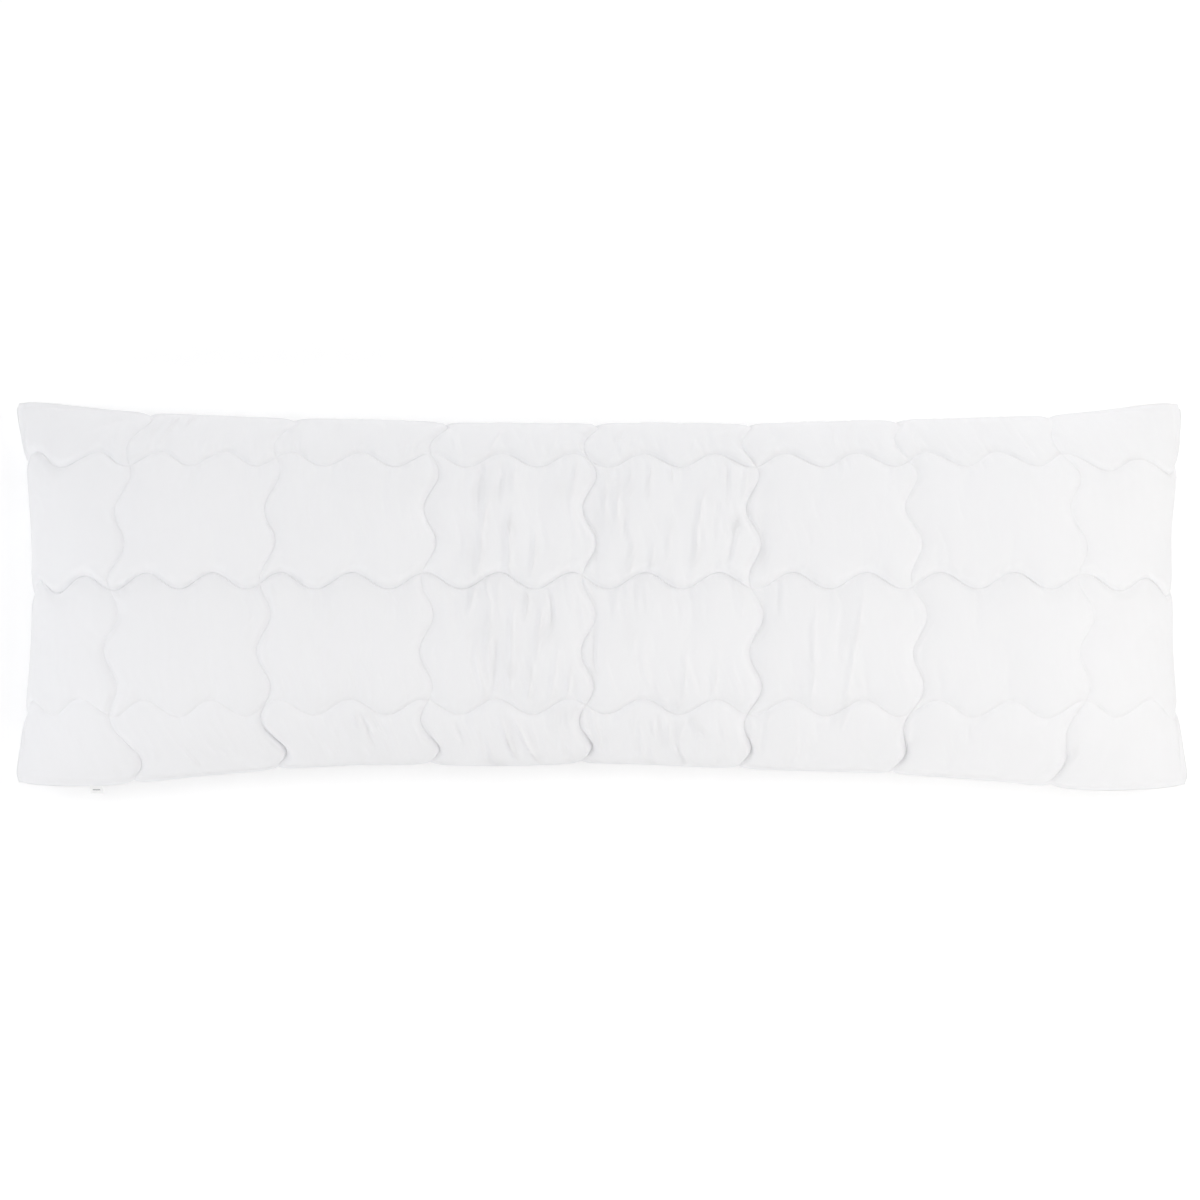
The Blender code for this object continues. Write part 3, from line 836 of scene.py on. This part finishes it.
# The quilting thread: white cotton, one short stitch after another along each line, on the front and on
# the back. Each stitch rises from the cloth, lies over it and goes down again.
STITCH_PITCH = 0.0034
STITCH_LENGTH = 0.0027
STITCH_RADIUS = 0.00030
STITCH_RISE = 0.00030
STITCH_RINGS = (-1.0, -0.72, 0.0, 0.72, 1.0)
STITCH_SIDES = 5
LINE_SAMPLES = 2400
STEP_ASIDE = 0.002
SEAM_CLEARANCE = 0.006


def line_path(line, crossing, surface):
    """Points and normals along one quilting line, closely spaced. The line is the middle one of three
    beside each other, so that its normal is known."""
    beside = np.array([line - STEP_ASIDE, line, line + STEP_ASIDE])
    if crossing:
        run = np.linspace(-HALF_WIDTH, HALF_WIDTH, LINE_SAMPLES)
        points, normal = surface(beside, run)
        return points[1], normal[1]
    run = np.linspace(-HALF_LENGTH, HALF_LENGTH, LINE_SAMPLES)
    points, normal = surface(run, beside)
    return points[:, 1], normal[:, 1]


def stitches(path, normal):
    """Points and facets of the stitches along a path. A stitch is a bead of rings round its line. Each
    ring rises by one less the square of its share of the way from the bead's middle to its end, and is as
    wide as the root of that."""
    length = np.append(0.0, np.cumsum(np.linalg.norm(np.diff(path, axis=0), axis=1)))
    middle = np.arange(SEAM_CLEARANCE, length[-1] - SEAM_CLEARANCE, STITCH_PITCH)
    shares = np.array(STITCH_RINGS)
    at = middle[:, None] + shares * STITCH_LENGTH / 2
    centre = np.stack([np.interp(at, length, path[:, k]) for k in range(3)], axis=-1)
    up = np.stack([np.interp(at, length, normal[:, k]) for k in range(3)], axis=-1)
    up /= np.linalg.norm(up, axis=-1, keepdims=True)
    ahead = np.gradient(centre, axis=1)
    ahead /= np.linalg.norm(ahead, axis=-1, keepdims=True)
    aside = np.cross(ahead, up)
    centre = centre + up * (STITCH_RISE * (1.0 - shares**2) - 0.4 * STITCH_RISE)[:, None]
    width = STITCH_RADIUS * np.sqrt(np.clip(1.0 - shares**2, 0.03, 1.0))
    turn = np.arange(STITCH_SIDES) / STITCH_SIDES * 2 * math.pi
    ring = up[:, :, None] * np.cos(turn)[:, None] + aside[:, :, None] * np.sin(turn)[:, None]
    points = centre[:, :, None] + ring * width[None, :, None, None]
    place = np.arange(points.shape[1] * STITCH_SIDES).reshape(-1, STITCH_SIDES)
    beside = np.roll(place, -1, axis=1)
    bead = np.stack([place[:-1], beside[:-1], beside[1:], place[1:]], axis=-1).reshape(-1, 4)
    facets = bead + (np.arange(len(middle)) * place.size)[:, None, None]
    caps = np.stack([place[0][::-1], place[-1]]) + (np.arange(len(middle)) * place.size)[:, None, None]
    return points.reshape(-1, 3), facets.reshape(-1, 4), caps.reshape(-1, STITCH_SIDES)


def thread_piece(name, surface):
    """All the stitches of one face as one mesh."""
    paths = [line_path(line, True, surface) for line in CROSS_LINES]
    paths += [line_path(line, False, surface) for line in LONG_LINES]
    points, facets, caps, base = [], [], [], 0
    for path, normal in paths:
        some, quads, ends = stitches(path + TO_FRAME, normal)
        points.append(some)
        facets += (quads + base).tolist()
        caps += (ends + base).tolist()
        base += len(some)
    mesh = bpy.data.meshes.new(name)
    mesh.from_pydata(np.concatenate(points).tolist(), [], facets + caps)
    mesh.shade_smooth()
    return placed(name, mesh)


def thread_material():
    """White thread with a soft shine: its colour wavers between two whites, by a fine noise."""
    material, tree, shader = new_material("white_thread", 0.5, 0.2)
    place = tree.nodes.new("ShaderNodeTexCoord")
    noise = tree.nodes.new("ShaderNodeTexNoise")
    noise.inputs["Scale"].default_value = 900.0
    tree.links.new(place.outputs["Object"], noise.inputs["Vector"])
    tone = between(tree, noise.outputs["Fac"], (0.82, 0.82, 0.83), (0.90, 0.90, 0.90))
    tree.links.new(tone, shader.inputs["Base Color"])
    return material


thread = thread_material()
for name, surface in (("stitches_front", front_points), ("stitches_back", back_points)):
    stitching = thread_piece(name, surface)
    stitching.data.materials.append(thread)
    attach(stitching, "root")


# The label: a short white ribbon, folded double with its ends sewn into the near seam. It bends over and
# hangs, a little open at its fold. Two plain grey stripes are woven into its outer face.
LABEL_STATION = -0.6290
LABEL_WIDTH = 0.0158
LABEL_SPREAD = 0.00105
LABEL_DROP = 0.0240
LABEL_BEND = 0.0065
LABEL_ROOT = (-0.2382, 0.0652)
LABEL_LEAN = math.radians(80)
RIBBON_THICKNESS = 0.00034
RIBBON_RIPPLE = 0.00012
RIBBON_RIPPLE_LENGTH = 0.013
RIBBON_SKEW = 0.03
RIBBON_THREADS_PER_METRE = 3500.0
RIBBON_RELIEF = 0.00005
LABEL_STRIPES = {"places": (0.0075, 0.0102), "half width": 0.00062, "half length": 0.0047}


def ribbon_middle(length):
    """The label's middle line in its own section: a bend of one radius from level to its lean, and then
    straight on. The place and the direction at each length from the root."""
    turn = np.minimum(length / LABEL_BEND, LABEL_LEAN)
    hang = np.maximum(0.0, length - LABEL_BEND * LABEL_LEAN)
    y = LABEL_ROOT[0] - LABEL_BEND * np.sin(turn) - hang * math.cos(LABEL_LEAN)
    z = LABEL_ROOT[1] - LABEL_BEND * (1.0 - np.cos(turn)) - hang * math.sin(LABEL_LEAN)
    return np.stack([y, z], axis=-1), np.stack([-np.cos(turn), -np.sin(turn)], axis=-1)


def folded_ribbon(place, across):
    """The ribbon's own middle surface. Its outer half runs down one side of the label's middle line,
    turns round in a half circle at the end, and runs back up the other side. It ripples a little."""
    open_by = LABEL_SPREAD / 2 - RIBBON_THICKNESS / 2
    straight = LABEL_DROP - LABEL_SPREAD / 2
    fold = math.pi * open_by
    turn = np.clip((place - straight) / fold, 0.0, 1.0) * math.pi
    back_from_fold = 2 * straight + fold - place
    length = np.clip(np.where(place < straight + fold / 2, place, back_from_fold), 0.0, straight)
    middle, ahead = ribbon_middle(length)
    outward = np.stack([ahead[..., 1], -ahead[..., 0]], axis=-1)
    closed = smooth_step(length, 0.0, 0.4 * straight)
    aside = open_by * np.cos(turn) * (0.35 + 0.65 * closed)
    aside = aside + RIBBON_RIPPLE * closed * np.sin(2 * math.pi * across / RIBBON_RIPPLE_LENGTH + 1.0)
    beyond = open_by * np.sin(turn)
    section = middle + outward * aside[..., None] + ahead * beyond[..., None]
    station = LABEL_STATION + across + RIBBON_SKEW * length
    return np.concatenate([station[..., None], section], axis=-1)


def grid_edge(grid):
    """The numbers round the edge of a grid, back to where they start."""
    return np.concatenate([grid[:, 0], grid[-1, 1:], grid[-2::-1, -1], grid[0, -2::-1]])


def sheet_with_thickness(name, middle, thickness, flat_places):
    """A closed skin round a grid of points: the grid moved half the thickness each way along its normal,
    joined all round its edge."""
    normal = np.cross(np.gradient(middle, axis=0), np.gradient(middle, axis=1))
    normal /= np.linalg.norm(normal, axis=-1, keepdims=True)
    points = np.stack([middle + normal * thickness / 2, middle - normal * thickness / 2])
    place = np.arange(points[..., 0].size).reshape(points.shape[:3])
    upper, lower = (grid_edge(side) for side in place)
    wall = np.stack([upper[1:], lower[1:], lower[:-1], upper[:-1]], axis=-1)
    facets = np.concatenate([grid_facets(place[0]), grid_facets(place[1])[:, [0, 3, 2, 1]], wall])
    mesh = bpy.data.meshes.new(name)
    mesh.from_pydata(points.reshape(-1, 3).tolist(), [], facets.tolist())
    cloth_map = mesh.uv_layers.new(name="flat_cloth")
    places = np.stack([flat_places, flat_places]).reshape(-1, 2)[facets.ravel()]
    cloth_map.uv.foreach_set("vector", places.astype(np.float32).ravel())
    mesh.shade_smooth()
    mesh.set_sharp_from_angle(angle=math.radians(50))
    return placed(name, mesh)


def ribbon_material(weave_group):
    """Smooth white ribbon, finely woven: grey where its own map's length lies near a stripe's place, and
    its width within the stripe's half length."""
    material, tree, shader = new_material("white_ribbon", 0.45, 0.1)
    place = flat_cloth_place(tree)
    split = tree.nodes.new("ShaderNodeSeparateXYZ")
    tree.links.new(place, split.inputs[0])
    off_middle = worked(tree, "ABSOLUTE", split.outputs["Y"])
    within = worked(tree, "LESS_THAN", off_middle, LABEL_STRIPES["half length"])
    striped = 0.0
    for station in LABEL_STRIPES["places"]:
        away = worked(tree, "ABSOLUTE", worked(tree, "SUBTRACT", split.outputs["X"], station))
        near = worked(tree, "LESS_THAN", away, LABEL_STRIPES["half width"])
        striped = worked(tree, "ADD", near, striped)
    grey = worked(tree, "MULTIPLY", striped, within)
    tone = between(tree, grey, (0.93, 0.93, 0.93), (0.20, 0.20, 0.21))
    tree.links.new(tone, shader.inputs["Base Color"])
    weave = worked_in(tree, weave_group, place, "Threads per metre", RIBBON_THREADS_PER_METRE)
    tree.links.new(raised_by(tree, weave.outputs["Height"], RIBBON_RELIEF), shader.inputs["Normal"])
    return material


ribbon_length = 2 * (LABEL_DROP - LABEL_SPREAD / 2) + math.pi * (LABEL_SPREAD - RIBBON_THICKNESS) / 2
ribbon_rows = np.linspace(0.0, ribbon_length, 121)
ribbon_columns = np.linspace(-LABEL_WIDTH / 2, LABEL_WIDTH / 2, 13)
ribbon_places = np.meshgrid(ribbon_rows, ribbon_columns, indexing="ij")
label_middle = folded_ribbon(*ribbon_places) + TO_FRAME
label_map = np.stack(ribbon_places, axis=-1)
label = sheet_with_thickness("folded_label", label_middle, RIBBON_THICKNESS, label_map)
label.data.materials.append(ribbon_material(weave_group))
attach(label, "root")
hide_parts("label")


# The floor, the light and the camera. The floor glows a little, and more and more beyond the picture, so
# that it is as white all round as it is in the photograph.
FLOOR_REACH = 9.0
FLOOR_HEIGHT = -0.0004
FLOOR_WHITE = (0.95, 0.95, 0.95)
FLOOR_GLOW = {"From Min": 1.5, "From Max": 2.6, "To Min": 0.134, "To Max": 0.9}


def floor_material():
    """Matt white, whose glow rises straight with the distance from the middle."""
    material, tree, shader = new_material("studio_white", 0.9, 0.0)
    shader.inputs["Base Color"].default_value = (*FLOOR_WHITE, 1.0)
    shader.inputs["Emission Color"].default_value = (1.0, 1.0, 1.0, 1.0)
    place = tree.nodes.new("ShaderNodeTexCoord")
    distance = tree.nodes.new("ShaderNodeVectorMath")
    distance.operation = "LENGTH"
    tree.links.new(place.outputs["Object"], distance.inputs[0])
    glow = tree.nodes.new("ShaderNodeMapRange")
    for socket, value in FLOOR_GLOW.items():
        glow.inputs[socket].default_value = value
    tree.links.new(distance.outputs["Value"], glow.inputs["Value"])
    tree.links.new(glow.outputs["Result"], shader.inputs["Emission Strength"])
    return material


floor_mesh = bpy.data.meshes.new("studio_floor")
floor_turn = ((-1, -1), (1, -1), (1, 1), (-1, 1))
floor_corners = [(x * FLOOR_REACH, y * FLOOR_REACH, FLOOR_HEIGHT) for x, y in floor_turn]
floor_mesh.from_pydata(floor_corners, [], [(0, 1, 2, 3)])
floor = placed("studio_floor", floor_mesh)
floor.data.materials.append(floor_material())

world = bpy.data.worlds.new("studio_air")
world.use_nodes = True
world.node_tree.nodes["Background"].inputs["Strength"].default_value = 0.0
bpy.context.scene.world = world

COOL_WHITE = (0.988, 0.990, 1.0)
WARM_WHITE = (1.0, 0.991, 0.975)
AIM_SHARE = 0.3
AIM_HEIGHT = 0.1
LAMPS = (  # name, place, width and height, power, colour
    ("far_right", (1.6, 1.0, 1.0), (1.2, 1.2), 12.0, WARM_WHITE),
    ("top_left", (-0.9, 0.0, 2.2), (1.2, 1.2), 10.4, COOL_WHITE),
    ("top_right", (0.9, 0.0, 2.2), (1.2, 1.2), 12.5, WARM_WHITE),
    ("near", (0.8, -1.6, 1.2), (1.2, 1.2), 8.2, WARM_WHITE),
    ("near_left", (-1.6, -1.2, 0.7), (1.2, 1.2), 7.9, COOL_WHITE),
    ("near_right", (1.6, -1.2, 0.7), (1.2, 1.2), 7.8, WARM_WHITE),
    ("far_low", (0.0, 2.0, 0.25), (2.4, 0.4), 7.9, COOL_WHITE),
    ("far_left", (-1.6, 1.0, 1.0), (1.2, 1.2), 6.8, COOL_WHITE),
    ("far", (0.0, 1.5, 1.6), (1.2, 1.2), 5.7, COOL_WHITE),
    ("end_left", (-2.0, 0.0, 0.7), (1.2, 1.2), 2.9, COOL_WHITE),
    ("end_right", (2.0, 0.0, 0.7), (1.2, 1.2), 0.8, WARM_WHITE),
    ("front_left", (-0.8, -1.6, 1.2), (1.2, 1.2), 1.9, COOL_WHITE),
    ("front", (0.0, -2.29, 3.28), (2.5, 2.5), 16.0, WARM_WHITE),
    ("left", (-3.06, 0.0, 2.57), (2.5, 2.5), 12.1, COOL_WHITE),
)
for name, place, size, power, colour in LAMPS:  # each faces a place this share of the way to its own end
    lamp = bpy.data.lights.new(name + "_light", "AREA")
    lamp.shape = "RECTANGLE"
    lamp.size, lamp.size_y = size
    lamp.energy = power
    lamp.color = colour
    shown = placed(name + "_light", lamp)
    shown.location = place
    facing = Vector((AIM_SHARE * place[0], 0.0, AIM_HEIGHT)) - shown.location
    shown.rotation_euler = facing.to_track_quat("-Z", "Y").to_euler()
    shown.visible_camera = False

bpy.context.scene.view_settings.view_transform = "Standard"
bpy.context.scene.view_settings.exposure = 0.0

PHOTO_WIDTH = 1.5
PHOTO_MIDDLE = (0.0, -0.0075, 0.070)
VIEW_ELEVATION = math.radians(84)
VIEW_DISTANCE = 16.0
camera = bpy.data.cameras.new("camera")
camera.sensor_width = 36
camera.lens = 36 * VIEW_DISTANCE / PHOTO_WIDTH
camera.clip_end = 100
viewer = placed("camera", camera)
aim = Vector(PHOTO_MIDDLE) + Vector(TO_FRAME)
back_way = Vector((0.0, -math.cos(VIEW_ELEVATION), math.sin(VIEW_ELEVATION)))
viewer.location = aim + back_way * VIEW_DISTANCE
viewer.rotation_euler = (-back_way).to_track_quat("-Z", "Y").to_euler()
bpy.context.scene.camera = viewer
